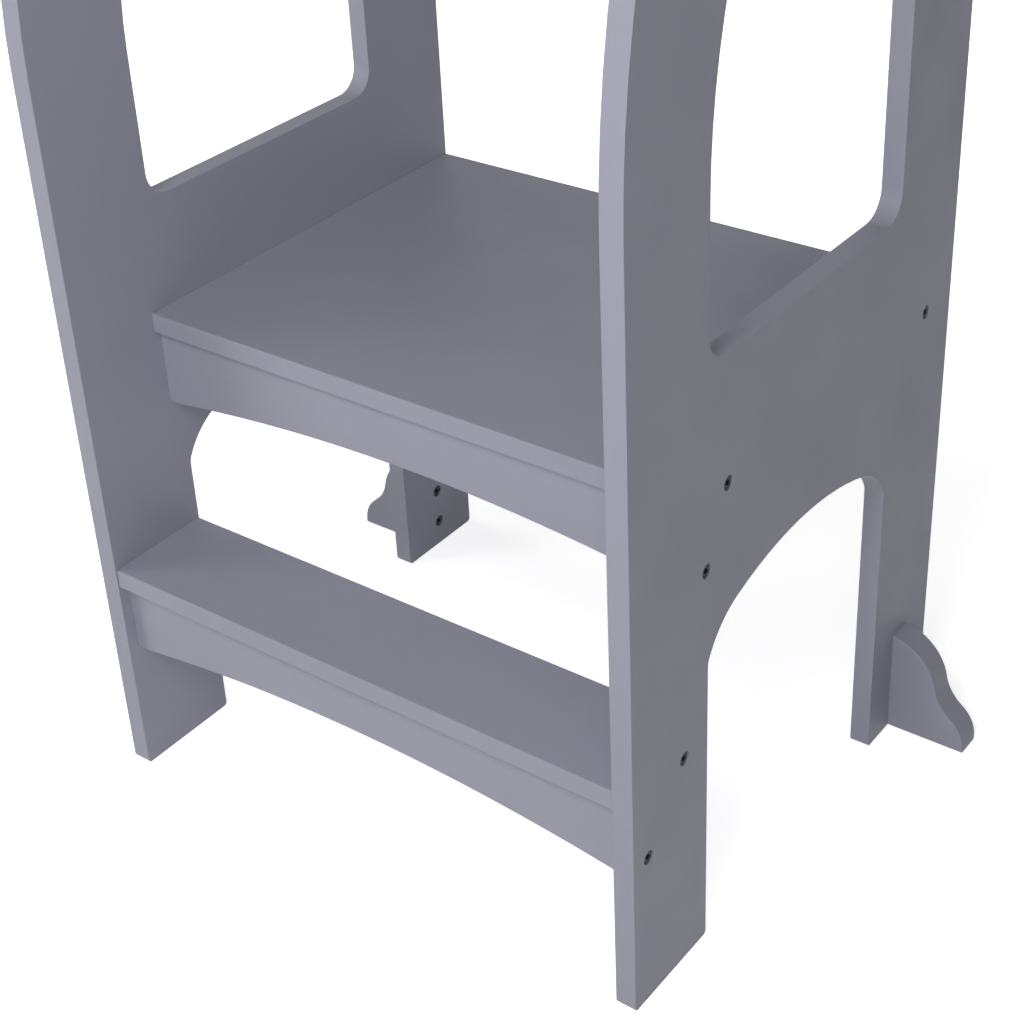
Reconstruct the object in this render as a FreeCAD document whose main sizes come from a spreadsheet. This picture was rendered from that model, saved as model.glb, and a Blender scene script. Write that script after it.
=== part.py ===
import FreeCAD, Part
import math
import os
import Sketcher

# Kitchen helper stool for a toddler. Millimetres, +Z up, X across the stool, Y from the climbing
# side to the rear. The origin is on the floor, in the middle of the footprint.

Vector = FreeCAD.Vector
document = FreeCAD.newDocument("HelperStool")
sheet = document.addObject("Spreadsheet::Sheet", "Sizes")


class Size:
    """A length with its present value and the expression that ties a feature to the sheet."""

    def __init__(self, value, expression):
        self.value = float(value)
        self.expression = expression

    def combine(self, other, sign, value):
        right = other.expression if isinstance(other, Size) else repr(other)
        return Size(value, f"({self.expression} {sign} {right})")

    def __add__(self, other):
        return self.combine(other, "+", self.value + number(other))

    def __sub__(self, other):
        return self.combine(other, "-", self.value - number(other))

    def __mul__(self, other):
        return self.combine(other, "*", self.value * number(other))

    def __truediv__(self, other):
        return self.combine(other, "/", self.value / number(other))

    def __neg__(self):
        return Size(-self.value, f"(0 - {self.expression})")


def number(length):
    return length.value if isinstance(length, Size) else float(length)


def size(alias, value, meaning):
    """Write one driving dimension into the sheet and hand it back as a Size."""
    row = len(sheet.getUsedCells()) // 2 + 1
    sheet.set(f"A{row}", meaning)
    sheet.set(f"B{row}", str(value))
    sheet.setAlias(f"B{row}", alias)
    return Size(value, f"Sizes.{alias}")


nothing = Size(0, "0")

# Side panels
board_thickness = size("board_thickness", 16, "every board except the feet")
clear_width = size("clear_width", 456, "between the inner faces of the side panels")
panel_depth = size("panel_depth", 426, "front edge to rear edge")
panel_height = size("panel_height", 925, "floor to the top of a side panel")
front_leg_width = size("front_leg_width", 90.5, "front leg, seen from the side")
rear_leg_width = size("rear_leg_width", 89.5, "rear leg and rear stile, seen from the side")
front_stile_width = size("front_stile_width", 88.5, "board in front of the window")
sweep_start = size("sweep_start", 580, "height where the front edge starts to lean back")
sweep_depth = size("sweep_depth", 187, "how far the lean carries the top edge back")
sweep_radius = size("sweep_radius", 140, "upper round of the front edge")
rear_top_radius = size("rear_top_radius", 45, "upper rear corner")
leg_corner_radius = size("leg_corner_radius", 3, "corners of the legs at the floor")
arch_corner_radius = size("arch_corner_radius", 5, "corner where the arch meets a leg")
edge_bevel = size("edge_bevel", 1, "broken edge all along the painted boards")
arch_height = size("arch_height", 289, "floor to the crown of the arch between the legs")
arch_rise = size("arch_rise", 48, "crown of the arch above its ends at the legs")
arch_crown_radius = size("arch_crown_radius", 265, "flat middle of the arch")
arch_end_radius = size("arch_end_radius", 62, "tighter ends of the arch")
window_bottom = size("window_bottom", 463, "floor to the lower edge of the window")
window_top_rail = size("window_top_rail", 90, "board above the window")
window_sweep_start = size("window_sweep_start", 575, "height where the window's front edge leans back")
window_sweep_depth = size("window_sweep_depth", 146.5, "how far that lean carries the window's top")
window_sweep_radius = size("window_sweep_radius", 100, "upper round of the window's front edge")
window_corner_radius = size("window_corner_radius", 20, "the other three corners of the window")

# Platform and step
platform_height = size("platform_height", 377, "floor to the top of the platform")
platform_setback = size("platform_setback", 74, "front edge of the platform behind the panels' front")
step_height = size("step_height", 189, "floor to the top of the step")
step_setback = size("step_setback", 1, "front edge of the step behind the panels' front")
step_depth = size("step_depth", 89, "front to rear of the step")
apron_height = size("apron_height", 62, "apron at its ends")
apron_rise = size("apron_rise", 16.5, "arch in the lower edge of an apron")
arch_inset = size("arch_inset", 8, "arch of an apron or rail in from the board's ends")
arch_blend = size("arch_blend", 25, "rounding where that arch begins")
platform_apron_setback = size("platform_apron_setback", 6, "apron behind the platform's front edge")
step_apron_setback = size("step_apron_setback", 9, "apron behind the step's front edge")

# Guard rails
rail_height = size("rail_height", 78, "guard rail at its ends")
rail_rise = size("rail_rise", 16.5, "arch in the lower edge of a rail")
rail_drop = size("rail_drop", 45, "both rails below the top of the side panels")
rail_round = size("rail_round", 4, "rounding of the rails' upper edges")
front_rail_setback = size("front_rail_setback", 96, "front rail behind the panels' front")
rear_rail_inset = size("rear_rail_inset", 15, "rear rail in front of the panels' rear edge")

# Stabiliser feet
foot_thickness = size("foot_thickness", 23, "foot, front to rear")
foot_inset = size("foot_inset", 33, "foot in front of the panel's rear edge")
foot_height = size("foot_height", 89.3, "foot where it meets the leg")
foot_reach = size("foot_reach", 65.5, "foot out from the leg")
foot_shoulder_radius = size("foot_shoulder_radius", 47, "upper bulge of the foot")
foot_shoulder_lean = size("foot_shoulder_lean", 8, "centre of that bulge inside the leg")
foot_hollow_radius = size("foot_hollow_radius", 40, "hollow between the two bulges")
foot_toe_radius = size("foot_toe_radius", 31, "lower bulge of the foot")
foot_toe_height = size("foot_toe_height", 3.5, "upright edge at the floor")

# Screws and dowels
screw_length = size("screw_length", 50, "board screw, head included")
foot_screw_length = size("foot_screw_length", 38, "foot screw, head included")
screw_diameter = size("screw_diameter", 6.4, "shank")
head_diameter = size("head_diameter", 10.4, "screw head")
head_height = size("head_height", 3.5, "screw head")
head_recess = size("head_recess", 2.5, "head below the panel's face")
socket_width = size("socket_width", 4, "hexagon socket across its flats")
socket_depth = size("socket_depth", 2.4, "hexagon socket")
hole_clearance = size("hole_clearance", 0.2, "hole larger than screw or dowel, all round")
hole_spare = size("hole_spare", 1.5, "hole deeper than the screw or dowel in it")
dowel_diameter = size("dowel_diameter", 8, "wooden dowel")
dowel_length = size("dowel_length", 30, "wooden dowel")
dowel_in_panel = size("dowel_in_panel", 9, "dowel's length inside a side panel")
platform_screw_inset = size("platform_screw_inset", 39, "screws from the platform's front and rear")
step_screw_inset = size("step_screw_inset", 28, "screw in front of the step's rear edge")
step_dowel_inset = size("step_dowel_inset", 26, "dowel behind the step's front edge")
apron_screw_lift = size("apron_screw_lift", 17, "screw above the apron's lower corner")
apron_dowel_drop = size("apron_dowel_drop", 18, "dowel below the apron's upper edge")
rail_screw_inset = size("rail_screw_inset", 19, "screws from the rail's upper edge and lower corner")
foot_screw_low = size("foot_screw_low", 23.5, "lower foot screw above the floor")
foot_screw_spread = size("foot_screw_spread", 33, "between the two foot screws")
document.recompute()

# Places that follow from those sizes. Front and rear are measured from the panels' front edge.
half_clear = clear_width / 2
outer_face = half_clear + board_thickness
front_of_panels = -(panel_depth / 2)
platform_depth = panel_depth - platform_setback
platform_under = platform_height - board_thickness
step_under = step_height - board_thickness
platform_apron_front = platform_setback + platform_apron_setback
step_apron_front = step_setback + step_apron_setback
rear_rail_front = panel_depth - rear_rail_inset - board_thickness
foot_front = panel_depth - foot_inset - foot_thickness
rail_bottom = panel_height - rail_drop - rail_height
hole_diameter = screw_diameter + hole_clearance * 2
counterbore = head_diameter + hole_clearance * 2
dowel_hole = dowel_diameter + hole_clearance * 2


def bind(thing, path, length):
    thing.setExpression(path, length.expression)


def origin_plane(body, role):
    return next(plane for plane in body.Origin.OriginFeatures if plane.Role == role)


def new_body(name, x, y, z):
    """A body whose own origin is put at x, y, z, with y counted from the panels' front edge."""
    body = document.addObject("PartDesign::Body", name)
    body.Label = name
    bind(body, "Placement.Base.x", x)
    bind(body, "Placement.Base.y", front_of_panels + y)
    bind(body, "Placement.Base.z", z)
    return body


def new_sketch(body, name, role, offset=nothing):
    sketch = body.newObject("Sketcher::SketchObject", name)
    sketch.AttachmentSupport = [(origin_plane(body, role), "")]
    sketch.MapMode = "FlatFace"
    bind(sketch, "AttachmentOffset.Base.z", offset)
    return sketch


def constrain(sketch, kind, *what, length=None):
    """Add one constraint, bound to the sheet where it has a length."""
    if length is None:
        return sketch.addConstraint(Sketcher.Constraint(kind, *what))
    index = sketch.addConstraint(Sketcher.Constraint(kind, *what, length.value))
    bind(sketch, f"Constraints[{index}]", length)
    return index


def pin(sketch, curve, point, x, y):
    """Hold a point of a curve at x, y from the sketch's origin."""
    for axis, length, distance in ((-2, x, "DistanceX"), (-1, y, "DistanceY")):
        if length is nothing:
            constrain(sketch, "PointOnObject", curve, point, axis)
        elif length is not None:
            constrain(sketch, distance, -1, 1, curve, point, length=length)


def flat(x, y):
    return Vector(number(x), number(y), 0)


def meeting_point(first, first_radius, second, second_radius):
    """Where two circles that are tangent, one inside the other or side by side, touch."""
    gap = (second - first).Length
    if gap > max(first_radius, second_radius):
        return first + (second - first) * (first_radius / gap)
    if first_radius > second_radius:
        return first + (second - first) * (first_radius / gap)
    return second + (first - second) * (second_radius / gap)


def circles_cross(first, first_radius, second, second_radius, side):
    """One of the two points at the given distances from two centres."""
    along = second - first
    gap = along.Length
    reach = (gap * gap + first_radius ** 2 - second_radius ** 2) / (2 * gap)
    across = Vector(-along.y, along.x, 0).normalize() * math.sqrt(first_radius ** 2 - reach ** 2)
    return first + along.normalize() * reach + across * side


class Outline:
    """A closed chain of lines and tangent arcs in a sketch, drawn from point to point."""

    def __init__(self, sketch, x, y):
        self.sketch = sketch
        self.start = flat(x, y)
        self.here = self.start
        self.curves = []
        self.pins = [(0, x, y)]

    def line(self, x, y, smooth=False):
        """Go straight to x, y. The join before the line is smooth after a tangent arc."""
        there = flat(x, y)
        index = self.sketch.addGeometry(Part.LineSegment(self.here, there), False)
        self.curves.append((index, 1, 2, smooth))
        self.here = there
        self.pins.append((len(self.curves), x, y))

    def arc(self, centre, there, turn, smooth=True, radius=None, pinned=None):
        """Go round centre to there, to the left for a turn of 1, to the right for -1."""
        begin, end = [math.atan2(p.y - centre.y, p.x - centre.x) for p in (self.here, there)]
        if turn < 0:
            begin, end = end, begin
        circle = Part.Circle(centre, Vector(0, 0, 1), (there - centre).Length)
        index = self.sketch.addGeometry(Part.ArcOfCircle(circle, begin, end), False)
        first, last = (1, 2) if turn > 0 else (2, 1)
        self.curves.append((index, first, last, smooth))
        self.here = there
        if radius is not None:
            constrain(self.sketch, "Radius", index, length=radius)
        if pinned is not None:
            self.pins.append((len(self.curves), *pinned))
        return index

    def close(self):
        """Join the curves end to end and hold the named corners."""
        before = self.curves[-1]
        for curve in self.curves:
            kind = "Tangent" if curve[3] else "Coincident"
            constrain(self.sketch, kind, before[0], before[2], curve[0], curve[1])
            before = curve
        for position, x, y in self.pins:
            if position < len(self.curves):
                pin(self.sketch, *self.curves[position][:2], x, y)
        document.recompute()


def swept_corner(outline, start_x, start_y, top_x, top_y, radius):
    """From a top edge at top_x, top_y down to an upright edge at start_x, start_y, in two arcs."""
    depth = top_x.value - start_x.value
    rise = top_y.value - start_y.value
    long_radius = (depth ** 2 + rise ** 2 - 2 * rise * radius.value) / (2 * (depth - radius.value))
    upper = Vector(top_x.value, top_y.value - radius.value, 0)
    lower = Vector(start_x.value + long_radius, start_y.value, 0)
    join = meeting_point(upper, radius.value, lower, long_radius)
    outline.arc(upper, join, 1, radius=radius)
    outline.arc(lower, flat(start_x, start_y), 1, pinned=(start_x, start_y))


def pad(body, sketch, length, reverse=False):
    feature = body.newObject("PartDesign::Pad", f"{body.Name}_pad")
    feature.Profile = sketch
    feature.Reversed = reverse
    bind(feature, "Length", length)
    document.recompute()
    return feature


def pocket(body, sketch, depth=None, reverse=False):
    """Cut a sketch through the whole body, or to a depth."""
    before = body.Shape.Volume
    feature = body.newObject("PartDesign::Pocket", f"{sketch.Name}_cut")
    feature.Profile = sketch
    feature.Reversed = reverse
    if depth is None:
        feature.Type = "ThroughAll"
    else:
        bind(feature, "Length", depth)
    document.recompute()
    if body.Shape.Volume > before - 1:
        raise RuntimeError(f"{feature.Name} cuts nothing")
    return feature


def dress_edges(body, kind, name, path, length, wanted):
    """Fillet or chamfer every edge of the body's present shape for which wanted(edge) is true."""
    base = body.Tip
    names = [f"Edge{i + 1}" for i, edge in enumerate(base.Shape.Edges) if wanted(edge)]
    feature = body.newObject(f"PartDesign::{kind}", name)
    feature.Base = (base, names)
    bind(feature, path, length)
    document.recompute()


def round_edges(body, name, radius, wanted):
    dress_edges(body, "Fillet", name, "Radius", radius, wanted)


def bevel_edges(body, name, wanted):
    dress_edges(body, "Chamfer", name, "Size", edge_bevel, wanted)


def near(value, length):
    return abs(value - number(length)) < 0.01


def lies_in_x(edge, length):
    return near(edge.BoundBox.XMin, length) and near(edge.BoundBox.XMax, length)


def runs_along_x(edge, y, z):
    box = edge.BoundBox
    return near(box.YMin, y) and near(box.YMax, y) and near(box.ZMin, z) and near(box.ZMax, z)


def circles(sketch, places, diameter):
    """Draw one circle at each x, y place."""
    for x, y in places:
        circle = Part.Circle(flat(x, y), Vector(0, 0, 1), diameter.value / 2)
        index = sketch.addGeometry(circle, False)
        constrain(sketch, "Diameter", index, length=diameter)
        pin(sketch, index, 3, x, y)
    document.recompute()


def screw_holes(body, name, places, offset=nothing, reverse=False):
    """Counterbored clearance holes from a face of a side panel right through it."""
    sketch = new_sketch(body, name, "YZ_Plane", offset)
    circles(sketch, places, hole_diameter)
    hole = body.newObject("PartDesign::Hole", f"{name}_hole")
    hole.Profile = sketch
    document.recompute()
    hole.DepthType = "ThroughAll"
    hole.HoleCutType = "Counterbore"
    hole.HoleCutCustomValues = True
    hole.Reversed = reverse
    bind(hole, "Diameter", hole_diameter)
    bind(hole, "HoleCutDiameter", counterbore)
    bind(hole, "HoleCutDepth", head_recess + head_height)
    document.recompute()


# Where the screws and dowels are, as (y, z) from the panels' front edge and the floor
platform_middle = platform_height - board_thickness / 2
step_middle = step_height - board_thickness / 2
platform_screw_rows = (platform_setback + platform_screw_inset, panel_depth - platform_screw_inset)
step_screw_place = (step_setback + step_depth - step_screw_inset, step_middle)
step_dowel_place = (step_setback + step_dowel_inset, step_middle)
platform_apron_middle = platform_apron_front + board_thickness / 2
step_apron_middle = step_apron_front + board_thickness / 2
platform_apron_screw = (platform_apron_middle, platform_under - apron_height + apron_screw_lift)
platform_apron_dowel = (platform_apron_middle, platform_under - apron_dowel_drop)
step_apron_screw = (step_apron_middle, step_under - apron_height + apron_screw_lift)
step_apron_dowel = (step_apron_middle, step_under - apron_dowel_drop)
front_rail_middle = front_rail_setback + board_thickness / 2
rear_rail_middle = rear_rail_front + board_thickness / 2
rail_screw_low = rail_bottom + rail_screw_inset
rail_screw_spread = rail_height - rail_screw_inset * 2
foot_middle = foot_front + foot_thickness / 2

board_screw_places = [(row, platform_middle) for row in platform_screw_rows]
board_screw_places += [platform_apron_screw, step_screw_place, step_apron_screw]
for rail_middle in (front_rail_middle, rear_rail_middle):
    board_screw_places.append((rail_middle, rail_screw_low))
    board_screw_places.append((rail_middle, rail_screw_low + rail_screw_spread))
foot_screw_places = [(foot_middle, foot_screw_low), (foot_middle, foot_screw_low + foot_screw_spread)]
dowel_places = [platform_apron_dowel, step_dowel_place, step_apron_dowel]


def draw_panel(sketch):
    """Side panel seen from the right: legs, arch, rear edge, top, swept front edge."""
    leg_end = arch_height - arch_rise
    rear_leg = panel_depth - rear_leg_width
    crown = Vector((front_leg_width.value + rear_leg.value) / 2, (arch_height - arch_crown_radius).value, 0)
    outline = Outline(sketch, nothing, nothing)
    outline.line(front_leg_width, nothing)
    outline.line(front_leg_width, leg_end)
    reach = arch_crown_radius.value - arch_end_radius.value
    front_end = flat(front_leg_width, leg_end)
    rear_end = flat(rear_leg, leg_end)
    front_centre = circles_cross(crown, reach, front_end, arch_end_radius.value, -1)
    rear_centre = circles_cross(crown, reach, rear_end, arch_end_radius.value, 1)
    crown_radius = arch_crown_radius.value
    front_join = meeting_point(crown, crown_radius, front_centre, arch_end_radius.value)
    rear_join = meeting_point(crown, crown_radius, rear_centre, arch_end_radius.value)
    outline.arc(front_centre, front_join, -1, smooth=False, radius=arch_end_radius)
    middle = outline.arc(crown, rear_join, -1, radius=arch_crown_radius)
    outline.arc(rear_centre, rear_end, -1, radius=arch_end_radius, pinned=(rear_leg, leg_end))
    outline.line(rear_leg, nothing)
    outline.line(panel_depth, nothing)
    outline.line(panel_depth, panel_height)
    outline.line(sweep_depth, panel_height)
    swept_corner(outline, nothing, sweep_start, sweep_depth, panel_height, sweep_radius)
    outline.line(nothing, nothing, smooth=True)
    crown_y = (front_leg_width + rear_leg) / 2
    pin(sketch, middle, 3, crown_y, arch_height - arch_crown_radius)
    outline.close()


def draw_window(sketch):
    left = front_stile_width
    right = panel_depth - rear_leg_width
    top = panel_height - window_top_rail
    outline = Outline(sketch, left, window_bottom)
    outline.line(right, window_bottom)
    outline.line(right, top)
    outline.line(left + window_sweep_depth, top)
    swept_corner(outline, left, window_sweep_start, left + window_sweep_depth, top, window_sweep_radius)
    outline.line(left, window_bottom, smooth=True)
    outline.close()


def side_panel(name, side):
    """One side panel. Its outer face is its own YZ plane, and side is 1 on the right."""
    right = side > 0
    body = new_body(name, outer_face if right else -outer_face, nothing, nothing)
    inner = -board_thickness if right else board_thickness
    face = new_sketch(body, f"{name}_face", "YZ_Plane")
    draw_panel(face)
    pad(body, face, board_thickness, reverse=right)
    window = new_sketch(body, f"{name}_window", "YZ_Plane")
    draw_window(window)
    pocket(body, window, reverse=not right)
    left, rear = front_stile_width, panel_depth - rear_leg_width
    top = panel_height - window_top_rail
    corners = ((left, window_bottom), (rear, window_bottom), (rear, top))
    round_edges(body, f"{name}_window_corners", window_corner_radius,
                lambda edge: any(runs_along_x(edge, y, z) for y, z in corners))
    legs = (nothing, front_leg_width, rear, panel_depth)
    round_edges(body, f"{name}_leg_corners", leg_corner_radius,
                lambda edge: any(runs_along_x(edge, y, nothing) for y in legs))
    arch_ends = (front_leg_width, rear)
    round_edges(body, f"{name}_arch_corners", arch_corner_radius,
                lambda edge: any(runs_along_x(edge, y, arch_height - arch_rise) for y in arch_ends))
    round_edges(body, f"{name}_rear_top", rear_top_radius,
                lambda edge: runs_along_x(edge, panel_depth, panel_height))
    bevel_edges(body, f"{name}_edges", lambda edge: lies_in_x(edge, 0) or lies_in_x(edge, inner))
    screw_holes(body, f"{name}_screws", board_screw_places, reverse=not right)
    screw_holes(body, f"{name}_foot_screws", foot_screw_places, inner, reverse=right)
    dowels = new_sketch(body, f"{name}_dowels", "YZ_Plane", inner)
    circles(dowels, dowel_places, dowel_hole)
    pocket(body, dowels, dowel_in_panel + hole_spare, reverse=right)
    return body


def end_holes(body, name, places, diameter, depth):
    """Blind holes in both ends of a board that lies between the side panels."""
    sketch = new_sketch(body, name, "YZ_Plane", half_clear)
    circles(sketch, places, diameter)
    cut = pocket(body, sketch, depth)
    mirror = body.newObject("PartDesign::Mirrored", f"{name}_mirror")
    mirror.Originals = [cut]
    mirror.MirrorPlane = (origin_plane(body, "YZ_Plane"), [""])
    body.Tip = mirror
    document.recompute()


screw_hole_depth = screw_length + head_recess - board_thickness + hole_spare
dowel_hole_depth = dowel_length - dowel_in_panel + hole_spare


def flat_board(name, front, under, depth):
    """A level board between the panels, with its long edges bevelled."""
    body = new_body(name, nothing, front, under)
    face = new_sketch(body, f"{name}_face", "YZ_Plane", -half_clear)
    outline = Outline(face, nothing, nothing)
    outline.line(depth, nothing)
    outline.line(depth, board_thickness)
    outline.line(nothing, board_thickness)
    outline.line(nothing, nothing)
    outline.close()
    pad(body, face, clear_width)
    bevel_edges(body, f"{name}_edges",
                lambda edge: near(edge.BoundBox.XMin, -half_clear) and near(edge.BoundBox.XMax, half_clear))
    return body


def arched_board(name, front, under, height, rise, top_round):
    """A board on edge between the panels, with an arch in its lower edge."""
    body = new_body(name, nothing, front, under)
    face = new_sketch(body, f"{name}_face", "XZ_Plane")
    half_arch = half_clear - arch_inset
    radius = (half_arch * half_arch + rise * rise) / (rise * 2)
    outline = Outline(face, -half_clear, nothing)
    outline.line(-half_arch, nothing)
    outline.arc(Vector(0, rise.value - radius.value, 0), flat(half_arch, nothing), -1, smooth=False,
                radius=radius, pinned=(half_arch, nothing))
    outline.line(half_clear, nothing)
    outline.line(half_clear, height)
    outline.line(-half_clear, height)
    outline.line(-half_clear, nothing)
    outline.close()
    pad(body, face, board_thickness, reverse=True)

    def arch_end(edge):
        box = edge.BoundBox
        return near(max(abs(box.XMin), abs(box.XMax)), half_arch) and box.XLength < 0.01

    def long_edge(edge, upper):
        box = edge.BoundBox
        return box.XLength > 1 and near(box.ZMin, height) == upper

    round_edges(body, f"{name}_arch_ends", arch_blend, arch_end)
    bevel_edges(body, f"{name}_lower_edges", lambda edge: long_edge(edge, False))
    if top_round is not None:
        round_edges(body, f"{name}_upper_edges", top_round, lambda edge: long_edge(edge, True))
    return body


def foot(name, side):
    """Stabiliser foot: shoulder, hollow and toe in three tangent arcs."""
    right = side > 0
    body = new_body(name, outer_face if right else -outer_face, foot_front, nothing)
    face = new_sketch(body, f"{name}_face", "XZ_Plane")
    shoulder_radius, hollow_radius, toe_radius = [
        radius.value for radius in (foot_shoulder_radius, foot_hollow_radius, foot_toe_radius)]
    lean = foot_shoulder_lean.value
    shoulder = Vector(-lean, foot_height.value - math.sqrt(shoulder_radius ** 2 - lean ** 2), 0)
    toe = Vector(foot_reach.value - toe_radius, foot_toe_height.value, 0)
    hollow = circles_cross(shoulder, shoulder_radius + hollow_radius, toe, toe_radius + hollow_radius, 1)
    upper_join = meeting_point(shoulder, shoulder_radius, hollow, hollow_radius)
    lower_join = meeting_point(hollow, hollow_radius, toe, toe_radius)
    outline = Outline(face, nothing, foot_height)
    bulge = outline.arc(shoulder, upper_join, -1, smooth=False, radius=foot_shoulder_radius)
    outline.arc(hollow, lower_join, 1, radius=foot_hollow_radius)
    outline.arc(toe, flat(foot_reach, foot_toe_height), -1, radius=foot_toe_radius,
                pinned=(foot_reach, foot_toe_height))
    outline.line(foot_reach, nothing, smooth=True)
    outline.line(nothing, nothing)
    outline.line(nothing, foot_height)
    constrain(face, "DistanceX", bulge, 3, -1, 1, length=foot_shoulder_lean)
    outline.close()
    pad(body, face, foot_thickness, reverse=True)
    bevel_edges(body, f"{name}_edges", lambda edge: not near(edge.BoundBox.XMin, 0)
                and (near(edge.BoundBox.YMin, foot_thickness) or near(edge.BoundBox.YMax, 0)))
    places = [(foot_thickness / 2, z) for y, z in foot_screw_places]
    holes = new_sketch(body, f"{name}_holes", "YZ_Plane")
    circles(holes, places, hole_diameter)
    depth = foot_screw_length + head_recess - board_thickness + hole_spare
    pocket(body, holes, depth, reverse=True)
    if not right:
        body.Placement.Rotation = FreeCAD.Rotation(Vector(0, 0, 1), 180)
        bind(body, "Placement.Base.y", front_of_panels + foot_front + foot_thickness)
    return body


def repeat(body, features, rows, pitch, role):
    """Copy features along an axis and then to the other side of the stool."""
    mirror = body.newObject("PartDesign::Mirrored", f"{body.Name}_mirror")
    mirror.MirrorPlane = (origin_plane(body, "YZ_Plane"), [""])
    if rows == 1:
        mirror.Originals = features
        body.Tip = mirror
        document.recompute()
        return
    row = body.newObject("PartDesign::LinearPattern", f"{body.Name}_rows")
    row.Direction = (origin_plane(body, role), [""])
    row.Occurrences = rows
    bind(row, "Length", pitch)
    both = body.newObject("PartDesign::MultiTransform", f"{body.Name}_places")
    both.Originals = features
    both.Transformations = [row, mirror]
    body.Tip = both
    document.recompute()


def screws(name, place, length, head_x, rows=1, pitch=nothing, role="Y_Axis", inward=True):
    """Screws along X on both sides of the stool. The first head's outer face is at head_x."""
    y, z = place
    body = new_body(name, nothing, y, z)
    way = -1 if inward else 1
    seat = head_x + head_height * way
    tip = head_x + length * way
    profile = new_sketch(body, f"{name}_profile", "XZ_Plane")
    outline = Outline(profile, head_x, nothing)
    outline.line(head_x, head_diameter / 2)
    outline.line(seat, head_diameter / 2)
    outline.line(seat, screw_diameter / 2)
    outline.line(tip, screw_diameter / 2)
    outline.line(tip, nothing)
    outline.line(head_x, nothing)
    outline.close()
    turned = body.newObject("PartDesign::Revolution", f"{name}_turned")
    turned.Profile = profile
    turned.ReferenceAxis = (profile, ["H_Axis"])
    turned.Angle = 360
    document.recompute()
    socket = new_sketch(body, f"{name}_socket", "YZ_Plane", head_x)
    half_flat = socket_width / 2
    corner = half_flat.value / math.cos(math.radians(30))
    points = [Vector(0, corner, 0)]
    for step in range(1, 6):
        points.append(FreeCAD.Rotation(Vector(0, 0, 1), 60 * step).multVec(points[0]))
    circle = socket.addGeometry(Part.Circle(Vector(0, 0, 0), Vector(0, 0, 1), half_flat.value), True)
    constrain(socket, "Coincident", circle, 3, -1, 1)
    constrain(socket, "Radius", circle, length=half_flat)
    sides = [socket.addGeometry(Part.LineSegment(points[i - 1], points[i]), False) for i in range(6)]
    for i in range(6):
        constrain(socket, "Coincident", sides[i - 1], 2, sides[i], 1)
        constrain(socket, "Tangent", sides[i], circle)
        if i > 1:
            constrain(socket, "Equal", sides[1], sides[i])
    constrain(socket, "PointOnObject", sides[1], 1, -2)
    document.recompute()
    drive = pocket(body, socket, socket_depth, reverse=not inward)
    repeat(body, [turned, drive], rows, pitch, role)
    return body


def dowels(name, place):
    """A dowel along X at each end of a board, part in the board and part in the side panel."""
    y, z = place
    body = new_body(name, nothing, y, z)
    outer = half_clear + dowel_in_panel
    inner = outer - dowel_length
    section = new_sketch(body, f"{name}_section", "YZ_Plane", inner)
    circles(section, [(nothing, nothing)], dowel_diameter)
    repeat(body, [pad(body, section, dowel_length)], 1, nothing, "Y_Axis")
    return body


def local(place, front, under):
    y, z = place
    return (y - front, z - under)


parts = [side_panel("left_side_panel", -1), side_panel("right_side_panel", 1)]

platform = flat_board("platform_board", platform_setback, platform_under, platform_depth)
end_holes(platform, "platform_screw_ends",
          [local((row, platform_middle), platform_setback, platform_under) for row in platform_screw_rows],
          hole_diameter, screw_hole_depth)

step = flat_board("step_board", step_setback, step_under, step_depth)
end_holes(step, "step_screw_ends", [local(step_screw_place, step_setback, step_under)],
          hole_diameter, screw_hole_depth)
end_holes(step, "step_dowel_ends", [local(step_dowel_place, step_setback, step_under)],
          dowel_hole, dowel_hole_depth)
parts += [platform, step]

for name, front, under, screw_place, dowel_place in (
        ("platform_apron", platform_apron_front, platform_under, platform_apron_screw, platform_apron_dowel),
        ("step_apron", step_apron_front, step_under, step_apron_screw, step_apron_dowel)):
    lower = under - apron_height
    apron = arched_board(name, front, lower, apron_height, apron_rise, None)
    end_holes(apron, f"{name}_screw_ends", [local(screw_place, front, lower)],
              hole_diameter, screw_hole_depth)
    end_holes(apron, f"{name}_dowel_ends", [local(dowel_place, front, lower)],
              dowel_hole, dowel_hole_depth)
    parts.append(apron)

for name, front, middle in (("front_guard_rail", front_rail_setback, front_rail_middle),
                            ("rear_guard_rail", rear_rail_front, rear_rail_middle)):
    rail = arched_board(name, front, rail_bottom, rail_height, rail_rise, rail_round)
    places = [(middle, rail_screw_low), (middle, rail_screw_low + rail_screw_spread)]
    end_holes(rail, f"{name}_screw_ends", [local(place, front, rail_bottom) for place in places],
              hole_diameter, screw_hole_depth)
    parts.append(rail)

parts += [foot("left_foot", -1), foot("right_foot", 1)]

board_head = outer_face - head_recess
platform_pitch = platform_depth - platform_screw_inset * 2
parts += [
    screws("platform_board_screws", board_screw_places[0], screw_length, board_head, 2, platform_pitch),
    screws("platform_apron_screws", platform_apron_screw, screw_length, board_head),
    screws("step_board_screws", step_screw_place, screw_length, board_head),
    screws("step_apron_screws", step_apron_screw, screw_length, board_head),
    screws("front_rail_screws", (front_rail_middle, rail_screw_low), screw_length, board_head,
           2, rail_screw_spread, "Z_Axis"),
    screws("rear_rail_screws", (rear_rail_middle, rail_screw_low), screw_length, board_head,
           2, rail_screw_spread, "Z_Axis"),
    screws("foot_screws", foot_screw_places[0], foot_screw_length, half_clear + head_recess,
           2, foot_screw_spread, "Z_Axis", inward=False),
    dowels("platform_apron_dowels", platform_apron_dowel),
    dowels("step_board_dowels", step_dowel_place),
    dowels("step_apron_dowels", step_apron_dowel),
]

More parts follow.
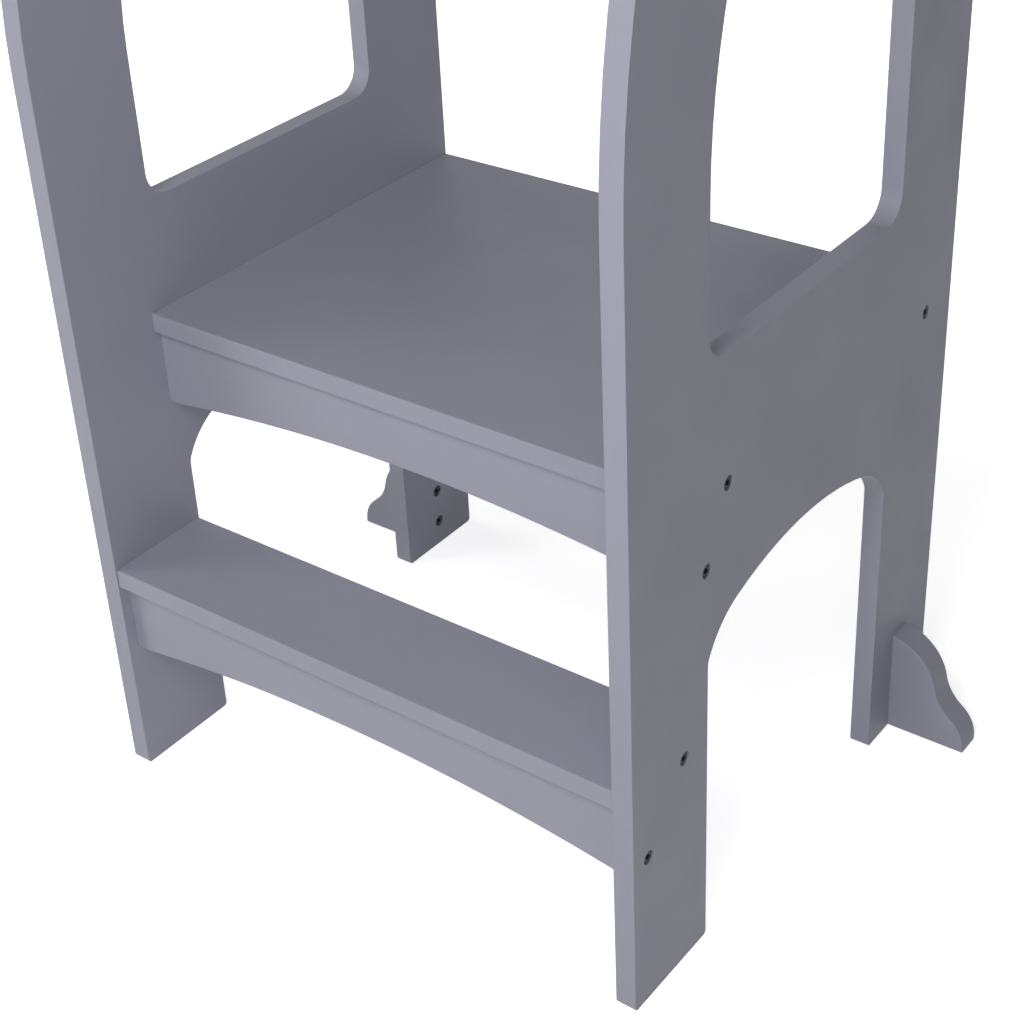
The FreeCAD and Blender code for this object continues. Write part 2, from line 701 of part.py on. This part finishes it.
document.recompute()
for thing in document.Objects:
    if "Invalid" in thing.State or "Error" in thing.State:
        raise RuntimeError(f"{thing.Label} failed: {thing.State}")
os.makedirs("parts", exist_ok=True)
for part in parts:
    if part.Shape.isNull() or not part.Shape.isValid():
        raise RuntimeError(f"{part.Label} has no valid shape")
    part.Shape.exportStep(f"parts/{part.Label}.step")
    print(f"{part.Label}: {len(part.Shape.Solids)} solids, {part.Shape.Volume / 1000:.1f} cm3")
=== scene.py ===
import bmesh
import bpy
import math
from mathutils import Matrix, Vector


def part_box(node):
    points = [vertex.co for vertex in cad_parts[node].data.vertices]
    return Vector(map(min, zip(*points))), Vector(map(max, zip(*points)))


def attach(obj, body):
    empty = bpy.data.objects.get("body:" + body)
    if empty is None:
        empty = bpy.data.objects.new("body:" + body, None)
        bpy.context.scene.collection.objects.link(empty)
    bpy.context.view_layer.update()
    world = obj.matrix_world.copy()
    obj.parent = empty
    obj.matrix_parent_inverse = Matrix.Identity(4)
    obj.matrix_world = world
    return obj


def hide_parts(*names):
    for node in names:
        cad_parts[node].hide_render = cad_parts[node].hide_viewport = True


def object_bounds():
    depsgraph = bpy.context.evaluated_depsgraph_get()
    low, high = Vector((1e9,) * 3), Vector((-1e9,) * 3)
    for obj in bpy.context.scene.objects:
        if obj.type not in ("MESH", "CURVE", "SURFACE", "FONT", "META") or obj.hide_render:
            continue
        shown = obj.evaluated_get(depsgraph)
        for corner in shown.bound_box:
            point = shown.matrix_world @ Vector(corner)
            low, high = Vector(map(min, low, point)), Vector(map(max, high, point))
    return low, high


# A toddler's kitchen helper stool in grey lacquered fibreboard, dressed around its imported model.
# X runs across the stool, Y from the climbing side to the rear, Z up. Sizes are in millimetres.

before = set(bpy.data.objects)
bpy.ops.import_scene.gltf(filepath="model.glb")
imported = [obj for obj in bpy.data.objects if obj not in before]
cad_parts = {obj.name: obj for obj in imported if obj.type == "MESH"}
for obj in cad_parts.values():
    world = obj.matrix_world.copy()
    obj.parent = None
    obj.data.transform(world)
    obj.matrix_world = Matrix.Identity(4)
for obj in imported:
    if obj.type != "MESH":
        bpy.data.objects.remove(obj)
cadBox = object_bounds()
mm = 0.001
tiny = 1e-6                     # metres within which two points count as one
arcSlack = 1e-5                 # metres that an arc may end away from its stated end
sharpAngle = 50                 # degrees past which an edge between two faces shades sharp
frontY = cadBox[0].y
print("frame loaded:", len(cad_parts), "nodes")


def acrossX(x):
    # a plane of the side panels: u back from the front edge, v up from the floor
    return lambda u, v: Vector((x, frontY + u * mm, v * mm))


def acrossY(y, x=0.0, side=1):
    # a plane of the boards between the panels and of the feet: u outwards from x, v up
    return lambda u, v: Vector((x + side * u * mm, y, v * mm))


def circlesMeet(first, firstRadius, second, secondRadius, side):
    # a point at the given distances from two centres
    gap = math.dist(first, second)
    along = (gap * gap + firstRadius ** 2 - secondRadius ** 2) / (2 * gap)
    off = side * math.sqrt(firstRadius ** 2 - along ** 2)
    du, dv = (second[0] - first[0]) / gap, (second[1] - first[1]) / gap
    return (first[0] + du * along - dv * off, first[1] + dv * along + du * off)


def onLine(first, second, distance):
    # distance from first, on the line through second
    gap = math.dist(first, second)
    return tuple(a + (b - a) * distance / gap for a, b in zip(first, second))


def sweptArcs(start, top, radius):
    # two tangent arcs from a level top edge down to an upright edge
    depth, rise = top[0] - start[0], top[1] - start[1]
    longRadius = (depth ** 2 + rise ** 2 - 2 * rise * radius) / (2 * (depth - radius))
    upper, lower = (top[0], top[1] - radius), (start[0] + longRadius, start[1])
    return [(onLine(lower, upper, longRadius), upper), (start, lower)]


def drawOutline(bm, place, start, moves, step=3):
    # moves are (end,) for a straight edge and (end, centre) for an arc, and lead back to start;
    # step is the degrees of arc in one edge
    known = set(bm.verts)
    vert = bmesh.ops.create_vert(bm, co=place(*start))["vert"][0]
    for move in moves:
        end = place(*move[0])
        if len(move) == 1:
            vert = bmesh.ops.extrude_vert_indiv(bm, verts=[vert])["verts"][0]
        else:
            centre = place(*move[1])
            fromCentre, toEnd = vert.co - centre, end - centre
            angle = fromCentre.angle(toEnd)
            steps = max(2, round(math.degrees(angle) / step))
            turned = bmesh.ops.spin(bm, geom=[vert], cent=centre, axis=fromCentre.cross(toEnd),
                                    angle=angle, steps=steps)
            vert = next(v for v in turned["geom_last"] if isinstance(v, bmesh.types.BMVert))
            if (vert.co - end).length > arcSlack:
                raise RuntimeError(f"arc ends {vert.co - end} away")
        vert.co = end
    drawn = [v for v in bm.verts if v not in known]
    bmesh.ops.remove_doubles(bm, verts=drawn, dist=tiny)


def roundCorners(bm, place, corners, radius, segments=4):
    wanted = [place(*corner) for corner in corners]
    verts = [v for v in bm.verts if any((v.co - w).length < tiny for w in wanted)]
    bmesh.ops.bevel(bm, geom=verts, offset=radius * mm, offset_type="OFFSET", segments=segments,
                    profile=0.5, affect="VERTICES", material=-1)


def thicken(bm, wires, move):
    # walls from a wire outline, and the wires of the far face
    grown = bmesh.ops.extrude_edge_only(bm, edges=wires)["geom"]
    verts = [item for item in grown if isinstance(item, bmesh.types.BMVert)]
    bmesh.ops.translate(bm, verts=verts, vec=move)
    ends = set(verts)
    return [e for e in bm.edges if e.verts[0] in ends and e.verts[1] in ends]


def softenEdges(bm, edges, width, segments=3):
    bmesh.ops.bevel(bm, geom=edges, offset=width * mm, offset_type="OFFSET", segments=segments,
                    profile=0.5, affect="EDGES", clamp_overlap=True, material=-1)


def finishPiece(bm, name, material, nodes):
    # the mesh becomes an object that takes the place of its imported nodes
    bmesh.ops.remove_doubles(bm, verts=bm.verts[:], dist=tiny)
    bmesh.ops.recalc_face_normals(bm, faces=bm.faces[:])
    for face in bm.faces:
        face.smooth = True
    for edge in bm.edges:
        flat = edge.calc_face_angle(0) < math.radians(sharpAngle)
        edge.smooth = len(edge.link_faces) == 2 and flat
    mesh = bpy.data.meshes.new(name)
    bm.to_mesh(mesh)
    bm.free()
    piece = bpy.data.objects.new(name, mesh)
    bpy.context.scene.collection.objects.link(piece)
    mesh.materials.append(material)
    weighted = piece.modifiers.new("Weighted normals", "WEIGHTED_NORMAL")
    weighted.keep_sharp = True
    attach(piece, "root")
    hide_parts(*nodes)
    print("made", name, len(mesh.polygons), "faces")


def linear(code):
    # an sRGB hex colour as Blender's linear values, by the sRGB curve
    parts = [int(code[i:i + 2], 16) / 255 for i in (0, 2, 4)]
    curve = [p / 12.92 if p <= 0.04045 else ((p + 0.055) / 1.055) ** 2.4 for p in parts]
    return (*curve, 1.0)


def addNode(tree, kind, settings=None, inputs=None):
    # one node with its settings and its inputs, each a value or another node's socket
    node = tree.nodes.new(kind)
    for key, value in (settings or {}).items():
        setattr(node, key, value)
    for key, value in (inputs or {}).items():
        if isinstance(value, bpy.types.NodeSocket):
            tree.links.new(value, node.inputs[key])
        else:
            node.inputs[key].default_value = value
    return node


def newMaterial(name):
    material = bpy.data.materials.new(name)
    material.use_nodes = True
    material.node_tree.nodes.clear()
    return material, material.node_tree


lacquer = {
    "colour": "9B9BA9",         # grey with a touch of violet
    "clouding": "9898A6",       # faint clouds where the sprayed coat is thinner
    "cloudSize": 60,            # mm
    "cloudRange": (0.3, 0.7),   # depth of cloud over which the roughness changes
    "orangePeel": 2.2,          # mm between the dimples that a spray gun leaves
    "peelDepth": 0.012,         # mm
    "peelStrength": 0.6,
    "roughness": (0.50, 0.58),
    "refraction": 1.47,
    "shine": 0.3,               # rubbed down, so it mirrors less than a fresh gloss coat
}


def lacqueredFibreboard():
    # water-based lacquer sprayed on fibreboard and rubbed down: satin, even, faint orange peel
    material, tree = newMaterial("lacqueredFibreboard")
    place = addNode(tree, "ShaderNodeTexCoord").outputs["Object"]
    clouds = addNode(tree, "ShaderNodeTexNoise", {}, {
        "Vector": place, "Scale": 1000 / lacquer["cloudSize"], "Detail": 3.0, "Roughness": 0.5})
    tint = addNode(tree, "ShaderNodeMix", {"data_type": "RGBA"}, {
        "Factor": clouds.outputs["Fac"], "A": linear(lacquer["colour"]),
        "B": linear(lacquer["clouding"])})
    sheen = addNode(tree, "ShaderNodeMapRange", {}, {
        "Value": clouds.outputs["Fac"],
        "From Min": lacquer["cloudRange"][0], "From Max": lacquer["cloudRange"][1],
        "To Min": lacquer["roughness"][0], "To Max": lacquer["roughness"][1]})
    peel = addNode(tree, "ShaderNodeTexNoise", {}, {
        "Vector": place, "Scale": 1000 / lacquer["orangePeel"], "Detail": 1.0})
    bump = addNode(tree, "ShaderNodeBump", {}, {
        "Height": peel.outputs["Fac"], "Strength": lacquer["peelStrength"],
        "Distance": lacquer["peelDepth"] * mm})
    shader = addNode(tree, "ShaderNodeBsdfPrincipled", {}, {
        "Base Color": tint.outputs["Result"], "Roughness": sheen.outputs["Result"],
        "Normal": bump.outputs["Normal"], "IOR": lacquer["refraction"],
        "Specular IOR Level": lacquer["shine"]})
    addNode(tree, "ShaderNodeOutputMaterial", {}, {"Surface": shader.outputs["BSDF"]})
    return material


screwFinish = {
    "colour": "35353D",
    "grit": 0.25,               # mm between the specks of the dull coat
    "gritDepth": 0.02,          # mm
    "gritStrength": 0.4,
    "roughness": (0.34, 0.54),
}


def blackZincSteel():
    # turned steel with a dark zinc coat: a dull metal with a fine grit
    material, tree = newMaterial("blackZincSteel")
    place = addNode(tree, "ShaderNodeTexCoord").outputs["Object"]
    grit = addNode(tree, "ShaderNodeTexNoise", {}, {
        "Vector": place, "Scale": 1000 / screwFinish["grit"], "Detail": 2.0})
    dull = addNode(tree, "ShaderNodeMapRange", {}, {
        "Value": grit.outputs["Fac"], "To Min": screwFinish["roughness"][0],
        "To Max": screwFinish["roughness"][1]})
    bump = addNode(tree, "ShaderNodeBump", {}, {
        "Height": grit.outputs["Fac"], "Strength": screwFinish["gritStrength"],
        "Distance": screwFinish["gritDepth"] * mm})
    shader = addNode(tree, "ShaderNodeBsdfPrincipled", {}, {
        "Base Color": linear(screwFinish["colour"]), "Metallic": 1.0,
        "Roughness": dull.outputs["Result"], "Normal": bump.outputs["Normal"]})
    addNode(tree, "ShaderNodeOutputMaterial", {}, {"Surface": shader.outputs["BSDF"]})
    return material


beech = {
    "light": "D9B892",
    "dark": "BE9468",
    "grain": 1.2,               # mm between growth lines
    "grainStretch": 0.06,       # drawn out along the dowel
    "grainDepth": 0.05,         # mm
    "grainStrength": 0.5,
    "roughness": 0.6,
}


def bareBeech():
    # turned beech dowel: fine straight grain along the dowel, dry surface
    material, tree = newMaterial("bareBeech")
    place = addNode(tree, "ShaderNodeTexCoord").outputs["Object"]
    along = addNode(tree, "ShaderNodeMapping", {}, {
        "Vector": place, "Scale": (beech["grainStretch"], 1.0, 1.0)})
    grain = addNode(tree, "ShaderNodeTexNoise", {}, {
        "Vector": along.outputs["Vector"], "Scale": 1000 / beech["grain"], "Detail": 4.0})
    tint = addNode(tree, "ShaderNodeMix", {"data_type": "RGBA"}, {
        "Factor": grain.outputs["Fac"], "A": linear(beech["light"]), "B": linear(beech["dark"])})
    bump = addNode(tree, "ShaderNodeBump", {}, {
        "Height": grain.outputs["Fac"], "Strength": beech["grainStrength"],
        "Distance": beech["grainDepth"] * mm})
    shader = addNode(tree, "ShaderNodeBsdfPrincipled", {}, {
        "Base Color": tint.outputs["Result"], "Roughness": beech["roughness"],
        "Normal": bump.outputs["Normal"]})
    addNode(tree, "ShaderNodeOutputMaterial", {}, {"Surface": shader.outputs["BSDF"]})
    return material


paint = lacqueredFibreboard()
steel = blackZincSteel()
wood = bareBeech()
print("materials ready")


# the two side panels, one board each
panel = {
    "thickness": 16, "clearWidth": 456, "depth": 426, "height": 925,
    "frontLeg": 90.5, "rearLeg": 89.5, "legCorner": 3,
    # the front edge sweeps back from sweepStart up, and the rear edge ends in a plain round corner
    "sweepStart": 580, "sweepDepth": 187, "sweepRadius": 140, "rearTopRadius": 45,
    # the arch between the legs has three centres
    "archHeight": 289, "archRise": 48, "crownRadius": 265, "archEndRadius": 62, "archCorner": 2.5,
    # the window follows the front edge
    "frontStile": 88.5, "windowBottom": 463, "windowTopRail": 90, "windowCorner": 20,
    "windowSweepStart": 575, "windowSweepDepth": 146.5, "windowSweepRadius": 100,
    "edge": 1.2,                # rounding asked for; the overlap clamp leaves 0.06 on these faces
    "recess": 5.4,              # radius of the screw recesses
    "recessDepth": 6,
    "recessSides": 40,
}
# where the screws go through a panel: back from its front edge, up from the floor
boardScrews = {
    "platform_board_screws": [(113, 369), (387, 369)],
    "platform_apron_screws": [(88, 316)],
    "step_board_screws": [(62, 181)],
    "step_apron_screws": [(18, 128)],
    "front_rail_screws": [(104, 821), (104, 861)],
    "rear_rail_screws": [(403, 821), (403, 861)],
}
footScrews = {"foot_screws": [(381.5, 23.5), (381.5, 56.5)]}
innerFace = panel["clearWidth"] / 2 * mm
outerFace = innerFace + panel["thickness"] * mm


def panelMoves():
    p = panel
    rear = p["depth"] - p["rearLeg"]
    legEnd = p["archHeight"] - p["archRise"]
    crown = ((p["frontLeg"] + rear) / 2, p["archHeight"] - p["crownRadius"])
    reach = p["crownRadius"] - p["archEndRadius"]
    frontCentre = circlesMeet(crown, reach, (p["frontLeg"], legEnd), p["archEndRadius"], -1)
    rearCentre = circlesMeet(crown, reach, (rear, legEnd), p["archEndRadius"], 1)
    topCorner = p["depth"] - p["rearTopRadius"]
    return [
        ((p["frontLeg"], 0),), ((p["frontLeg"], legEnd),),
        (onLine(crown, frontCentre, p["crownRadius"]), frontCentre),
        (onLine(crown, rearCentre, p["crownRadius"]), crown),
        ((rear, legEnd), rearCentre),
        ((rear, 0),), ((p["depth"], 0),), ((p["depth"], p["height"] - p["rearTopRadius"]),),
        ((topCorner, p["height"]), (topCorner, p["height"] - p["rearTopRadius"])),
        ((p["sweepDepth"], p["height"]),),
        *sweptArcs((0, p["sweepStart"]), (p["sweepDepth"], p["height"]), p["sweepRadius"]),
        ((0, 0),),
    ]


def windowMoves():
    p = panel
    front, rear, bottom = p["frontStile"], p["depth"] - p["rearLeg"], p["windowBottom"]
    top, r = p["height"] - p["windowTopRail"], p["windowCorner"]
    return [
        ((rear - r, bottom),), ((rear, bottom + r), (rear - r, bottom + r)),
        ((rear, top - r),), ((rear - r, top), (rear - r, top - r)),
        ((front + p["windowSweepDepth"], top),),
        *sweptArcs((front, p["windowSweepStart"]), (front + p["windowSweepDepth"], top),
                   p["windowSweepRadius"]),
        ((front, bottom + r),), ((front + r, bottom), (front + r, bottom + r)),
    ]


def recessMouths(bm, place, centres):
    # wires of the recess mouths, deepened once the face around them is filled
    known = set(bm.edges)
    for centre in centres:
        at = Matrix.Translation(place(*centre)) @ Matrix.Rotation(math.radians(90), 4, "Y")
        bmesh.ops.create_circle(bm, cap_ends=False, segments=panel["recessSides"],
                                radius=panel["recess"] * mm, matrix=at)
    return [e for e in bm.edges if e not in known]


def makePanel(node, side):
    bm = bmesh.new()
    outside, inside = acrossX(side * outerFace), acrossX(side * innerFace)
    p = panel
    rear, legEnd = p["depth"] - p["rearLeg"], p["archHeight"] - p["archRise"]
    drawOutline(bm, outside, (0, 0), panelMoves())
    windowStart = (p["frontStile"] + p["windowCorner"], p["windowBottom"])
    drawOutline(bm, outside, windowStart, windowMoves())
    legCorners = [(u, 0) for u in (0, p["frontLeg"], rear, p["depth"])]
    roundCorners(bm, outside, legCorners, p["legCorner"])
    roundCorners(bm, outside, [(p["frontLeg"], legEnd), (rear, legEnd)], p["archCorner"])
    outlines = bm.edges[:]
    farOutlines = thicken(bm, outlines, Vector((-side * p["thickness"] * mm, 0, 0)))
    mouths = recessMouths(bm, outside, sum(boardScrews.values(), []))
    footMouths = recessMouths(bm, inside, footScrews["foot_screws"])
    for edges in (outlines + mouths, farOutlines + footMouths):
        bmesh.ops.triangle_fill(bm, use_beauty=True, use_dissolve=False, edges=edges)
    bmesh.ops.recalc_face_normals(bm, faces=bm.faces[:])
    for edges, way in ((mouths, -side), (footMouths, side)):
        floor = thicken(bm, edges, Vector((way * p["recessDepth"] * mm, 0, 0)))
        bmesh.ops.edgeloop_fill(bm, edges=floor)
    softenEdges(bm, outlines + farOutlines, p["edge"])
    finishPiece(bm, node + "_lacquered", paint, [node])


makePanel("left_side_panel", -1)
makePanel("right_side_panel", 1)


# boards between the panels: platform, step, aprons and guard rails
board = {
    "edge": 1.2,                # rounding of the long edges
    "endEdge": 0.5,             # a sharper edge where a board's end meets a panel
    "stepGap": 0.6,             # open joint at the right end of the step
}
arch = {
    "rise": 16.5, "inset": 8,
    "step": 0.5,                # degrees of arc in one edge
}
guardRail = {"topRound": 4, "topSegments": 4}


def makeBoard(node, gap=0):
    low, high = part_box(node)
    high.x -= gap * mm
    bm = bmesh.new()
    size, middle = high - low, (low + high) / 2
    shape = Matrix.Translation(middle) @ Matrix.Diagonal((*size, 1))
    bmesh.ops.create_cube(bm, size=1, matrix=shape)
    longEdges = [e for e in bm.edges if abs(e.verts[0].co.x - e.verts[1].co.x) > size.x / 2]
    softenEdges(bm, longEdges, board["edge"])
    ends = [e for e in bm.edges if abs(e.verts[0].co.x - e.verts[1].co.x) < tiny]
    softenEdges(bm, ends, board["endEdge"], segments=2)
    finishPiece(bm, node + "_lacquered", paint, [node])


def makeArchedBoard(node, topRound, topSegments=3):
    low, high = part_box(node)
    place = acrossY(low.y)
    half, bottom, top = high.x / mm, low.z / mm, high.z / mm
    halfArch = half - arch["inset"]
    radius = (halfArch ** 2 + arch["rise"] ** 2) / (2 * arch["rise"])
    centre = (0, bottom + arch["rise"] - radius)
    bm = bmesh.new()
    drawOutline(bm, place, (-half, bottom), [
        ((-halfArch, bottom),), ((0, bottom + arch["rise"]), centre), ((halfArch, bottom), centre),
        ((half, bottom),), ((half, top),), ((-half, top),), ((-half, bottom),)], arch["step"])
    outline = bm.edges[:]
    farOutline = thicken(bm, outline, Vector((0, high.y - low.y, 0)))
    for edges in (outline, farOutline):
        bmesh.ops.edgeloop_fill(bm, edges=edges)
    upper = [e for e in outline + farOutline if all(abs(v.co.z - high.z) < tiny for v in e.verts)]
    ends = [e for e in bm.edges if all(abs(abs(v.co.x) - high.x) < tiny for v in e.verts)]
    lower = [e for e in outline + farOutline if e not in upper and e not in ends]
    softenEdges(bm, lower, board["edge"])
    softenEdges(bm, [e for e in upper if e.is_valid], topRound, topSegments)
    finishPiece(bm, node + "_lacquered", paint, [node])


makeBoard("platform_board")
makeBoard("step_board", board["stepGap"])
for node in ("platform_apron", "step_apron"):
    makeArchedBoard(node, board["edge"])
for node in ("front_guard_rail", "rear_guard_rail"):
    makeArchedBoard(node, guardRail["topRound"], guardRail["topSegments"])


# stabiliser feet on the outer faces of the rear legs
foot = {
    "thickness": 23, "height": 89.3, "reach": 65.5,
    # from the leg down: a shoulder, a hollow and a toe
    "shoulderRadius": 47, "shoulderLean": 8, "hollowRadius": 40, "toeRadius": 31, "toeHeight": 3.5,
    "edge": 1.2,
}


def makeFoot(node, side):
    f = foot
    low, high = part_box(node)
    place = acrossY(low.y, side * outerFace, side)
    drop = math.sqrt(f["shoulderRadius"] ** 2 - f["shoulderLean"] ** 2)
    shoulder = (-f["shoulderLean"], f["height"] - drop)
    toe = (f["reach"] - f["toeRadius"], f["toeHeight"])
    hollow = circlesMeet(shoulder, f["shoulderRadius"] + f["hollowRadius"],
                         toe, f["toeRadius"] + f["hollowRadius"], 1)
    bm = bmesh.new()
    drawOutline(bm, place, (0, f["height"]), [
        (onLine(shoulder, hollow, f["shoulderRadius"]), shoulder),
        (onLine(hollow, toe, f["hollowRadius"]), hollow),
        ((f["reach"], f["toeHeight"]), toe),
        ((f["reach"], 0),), ((0, 0),), ((0, f["height"]),)])
    outline = bm.edges[:]
    farOutline = thicken(bm, outline, Vector((0, f["thickness"] * mm, 0)))
    for edges in (outline, farOutline):
        bmesh.ops.edgeloop_fill(bm, edges=edges)
    seat = side * outerFace
    free = [e for e in outline + farOutline if any(abs(v.co.x - seat) > tiny for v in e.verts)]
    softenEdges(bm, free, f["edge"])
    finishPiece(bm, node + "_lacquered", paint, [node])


makeFoot("left_foot", -1)
makeFoot("right_foot", 1)


# machine screws with a hexagon socket, and the dowels between the boards
screw = {
    "headRadius": 5.25, "headHeight": 5.1, "headEdge": 0.7,
    "sunk": 0.9,                # head below the panel's face
    "shankRadius": 3.2, "length": 51.6, "footLength": 39.6,
    "tipRadius": 2.2, "tipPoint": 1.5, "tipTaper": 2.5,
    "socket": 2.31,             # centre to corner of the hexagon
    "socketDepth": 1.8,
    "sides": 36,
}


def addScrew(bm, place, way, length):
    # place is the middle of the head's face, way is 1 where the screw points along +X
    s = screw
    known = set(bm.verts)
    profile = [(length, 0), (length - s["tipPoint"], s["tipRadius"]),
               (length - s["tipTaper"], s["shankRadius"]),
               (s["headHeight"], s["shankRadius"]), (s["headHeight"], s["headRadius"]),
               (s["headEdge"], s["headRadius"]), (0, s["headRadius"] - s["headEdge"])]
    vert = None
    for along, out in profile:
        here = place + Vector((way * along * mm, 0, out * mm))
        if vert is None:
            vert = bmesh.ops.create_vert(bm, co=here)["vert"][0]
        else:
            vert = bmesh.ops.extrude_vert_indiv(bm, verts=[vert])["verts"][0]
            vert.co = here
    mine = [v for v in bm.verts if v not in known]
    wires = [e for e in bm.edges if e.verts[0] in mine]
    bmesh.ops.spin(bm, geom=mine + wires, cent=place, axis=(1, 0, 0), angle=math.tau,
                   steps=s["sides"], use_merge=True)
    mine = [v for v in bm.verts if v not in known]
    bmesh.ops.remove_doubles(bm, verts=mine, dist=tiny)
    headReach = 2 * s["headRadius"] * mm
    rim = [e for e in bm.edges if e.is_boundary
           and all(abs(v.co.x - place.x) < tiny for v in e.verts)
           and (e.verts[0].co - place).length < headReach]
    at = Matrix.Translation(place) @ Matrix.Rotation(math.radians(90), 4, "Y")
    before = set(bm.edges)
    bmesh.ops.create_circle(bm, cap_ends=False, segments=6, radius=s["socket"] * mm, matrix=at)
    hexagon = [e for e in bm.edges if e not in before]
    bmesh.ops.triangle_fill(bm, use_beauty=True, use_dissolve=False, edges=rim + hexagon)
    floor = thicken(bm, hexagon, Vector((way * s["socketDepth"] * mm, 0, 0)))
    bmesh.ops.edgeloop_fill(bm, edges=floor)


# the feet are screwed on from inside the legs, the boards from outside the panels
for node, places in {**boardScrews, **footScrews}.items():
    bm = bmesh.new()
    inFoot = node in footScrews
    length = screw["footLength"] if inFoot else screw["length"]
    sunk = screw["sunk"] * mm
    for side in (-1, 1):
        faceX = side * (innerFace + sunk if inFoot else outerFace - sunk)
        for spot in places:
            addScrew(bm, acrossX(faceX)(*spot), side if inFoot else -side, length)
    finishPiece(bm, node + "_turned", steel, [node])

# the dowels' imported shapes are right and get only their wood
for name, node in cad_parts.items():
    if "dowels" in name:
        for slot in node.material_slots:
            slot.material = wood
print("fasteners done")


# lamps, floor and camera
lights = {
    "ambient": 0.06,            # strength of the even light from all round
    "aim": (0.0, 0.0, 0.4),
    # name: watts, width, degrees round from the front towards the right, degrees up, metres away;
    # the fills only lift the sides that face away, and nothing mirrors them
    "lamps": {
        "frontLight": (14.2, 0.7, 15, 42, 1.9),
        "lowLight": (7.7, 0.7, 30, 14, 1.9),
        "rightLight": (2.2, 0.7, 50, 40, 1.9),
        "leftLight": (9.0, 0.7, -50, 14, 1.9),
        "sideFill": (14, 0.9, -95, 5, 2.1),
        "rearFill": (14, 0.9, 180, 5, 2.1),
    },
}
stage = {
    "floorSize": 14,            # metres
    "floorDrop": 0.2,           # mm below the legs
    "floorPaint": "F4F4F4",
    "floorGlow": (0.66, 1.0),   # white seen in the floor besides its lit paint: near, far off
    "glowReach": (0.5, 2.2),    # metres from the stool where that white starts and stops rising
}


def whiteSeen(tree):
    # 1 for what the camera sees, straight or mirrored, and 0 for soft bounced light
    path = addNode(tree, "ShaderNodeLightPath")
    mirrored = addNode(tree, "ShaderNodeMath", {"operation": "MAXIMUM"}, {
        0: path.outputs["Is Glossy Ray"], 1: path.outputs["Is Transmission Ray"]})
    seen = addNode(tree, "ShaderNodeMath", {"operation": "MAXIMUM"}, {
        0: path.outputs["Is Camera Ray"], 1: mirrored.outputs["Value"]})
    return seen.outputs["Value"]


def mattStudioPaint():
    # matt white floor paint: bounces light, stays white in the picture, keeps a faint shadow
    material, tree = newMaterial("mattStudioPaint")
    place = addNode(tree, "ShaderNodeTexCoord").outputs["Object"]
    away = addNode(tree, "ShaderNodeVectorMath", {"operation": "LENGTH"}, {0: place})
    rise = addNode(tree, "ShaderNodeMapRange", {"interpolation_type": "SMOOTHSTEP"}, {
        "Value": away.outputs["Value"],
        "From Min": stage["glowReach"][0], "From Max": stage["glowReach"][1],
        "To Min": stage["floorGlow"][0], "To Max": stage["floorGlow"][1]})
    glow = addNode(tree, "ShaderNodeMath", {"operation": "MULTIPLY"}, {
        0: whiteSeen(tree), 1: rise.outputs["Result"]})
    matt = addNode(tree, "ShaderNodeBsdfDiffuse", {}, {
        "Color": linear(stage["floorPaint"]), "Roughness": 0.0})
    white = addNode(tree, "ShaderNodeEmission", {}, {
        "Color": linear("FFFFFF"), "Strength": glow.outputs["Value"]})
    both = addNode(tree, "ShaderNodeAddShader", {}, {
        0: matt.outputs["BSDF"], 1: white.outputs["Emission"]})
    addNode(tree, "ShaderNodeOutputMaterial", {}, {"Surface": both.outputs["Shader"]})
    return material


bm = bmesh.new()
bmesh.ops.create_grid(bm, x_segments=1, y_segments=1, size=stage["floorSize"] / 2,
                      matrix=Matrix.Translation((0, 0, -stage["floorDrop"] * mm)))
mesh = bpy.data.meshes.new("floor")
bm.to_mesh(mesh)
bm.free()
floor = bpy.data.objects.new("floor", mesh)
bpy.context.scene.collection.objects.link(floor)
mesh.materials.append(mattStudioPaint())

world = bpy.data.worlds.new("studio")
bpy.context.scene.world = world
world.use_nodes = True
tree = world.node_tree
tree.nodes.clear()
level = addNode(tree, "ShaderNodeMapRange", {}, {
    "Value": whiteSeen(tree), "To Min": lights["ambient"], "To Max": 1.0})
sky = addNode(tree, "ShaderNodeBackground", {}, {
    "Color": linear("FFFFFF"), "Strength": level.outputs["Result"]})
addNode(tree, "ShaderNodeOutputWorld", {}, {"Surface": sky.outputs["Background"]})

for name, (watts, width, around, up, away) in lights["lamps"].items():
    lamp = bpy.data.lights.new(name, "AREA")
    lamp.size = width
    lamp.energy = watts
    swing = Matrix.Rotation(math.radians(around), 3, "Z")
    turn = swing @ Matrix.Rotation(math.radians(90 - up), 3, "X")
    softbox = bpy.data.objects.new(name, lamp)
    softbox.location = Vector(lights["aim"]) + turn @ Vector((0, 0, away))
    softbox.rotation_euler = turn.to_euler()
    softbox.visible_glossy = "Fill" not in name
    bpy.context.scene.collection.objects.link(softbox)

view = {
    "place": (0.7826, -1.0063, 1.0353),         # metres
    "turn": (59.0205, 2.3743, 36.3567),         # degrees
    "lens": 69.38, "shift": (-0.0078, -0.0703),
}
lens = bpy.data.cameras.new("camera")
lens.lens = view["lens"]
lens.shift_x, lens.shift_y = view["shift"]
camera = bpy.data.objects.new("camera", lens)
camera.location = view["place"]
camera.rotation_euler = [math.radians(angle) for angle in view["turn"]]
bpy.context.scene.collection.objects.link(camera)
bpy.context.scene.camera = camera
bpy.context.scene.view_settings.view_transform = "Standard"
print("stage ready")

bpy.context.view_layer.update()
